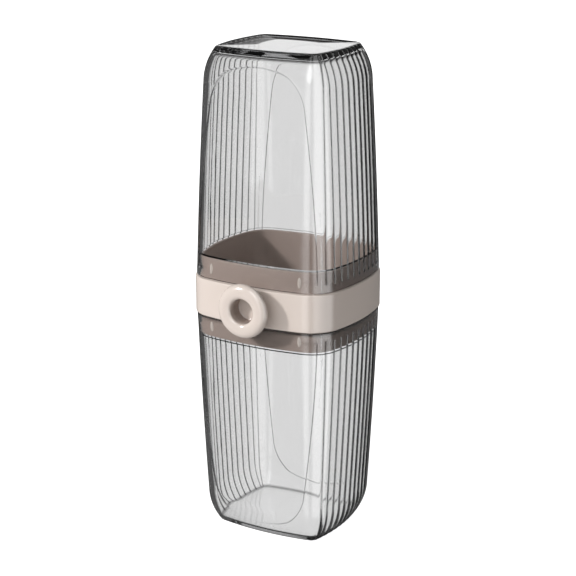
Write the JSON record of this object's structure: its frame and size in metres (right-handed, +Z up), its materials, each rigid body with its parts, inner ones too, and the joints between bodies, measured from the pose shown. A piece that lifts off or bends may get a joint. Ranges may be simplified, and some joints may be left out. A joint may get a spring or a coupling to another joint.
{
  "type": "toothbrush travel cup",
  "caption": "Two clear fluted cups that plug onto one collar tube to carry a toothbrush, with a ring-shaped knob on the collar's front for a hanging cord.",
  "frame": {"origin": "middle of the lower cup's flat base, on the case's vertical centre line", "axes": "+Z up along the case; -Y out through the ring knob on the front; +X to the knob's right as the front is seen from outside"},
  "size_m": [0.0724, 0.072, 0.2124],
  "materials": {
    "clear_cup": "clear smoke-grey moulded plastic, polished",
    "sleeve_plastic": "taupe moulded plastic, satin",
    "band_plastic": "warm beige moulded plastic, semi-gloss"
  },
  "bodies": {
    "lower_cup": {"lower_cup": "clear_cup"},
    "collar": {"collar_sleeve": "sleeve_plastic", "collar_band": "band_plastic", "ring_knob": "band_plastic"},
    "upper_cup": {"upper_cup": "clear_cup"}
  },
  "joints": [
    {"name": "collar_lift", "type": "slide", "parent": "lower_cup", "child": "collar", "axis": [0, 0, 1], "range_m": [0, 0.07]},
    {"name": "upper_cup_lift", "type": "slide", "parent": "collar", "child": "upper_cup", "axis": [0, 0, 1], "range_m": [0, 0.07]}
  ]
}
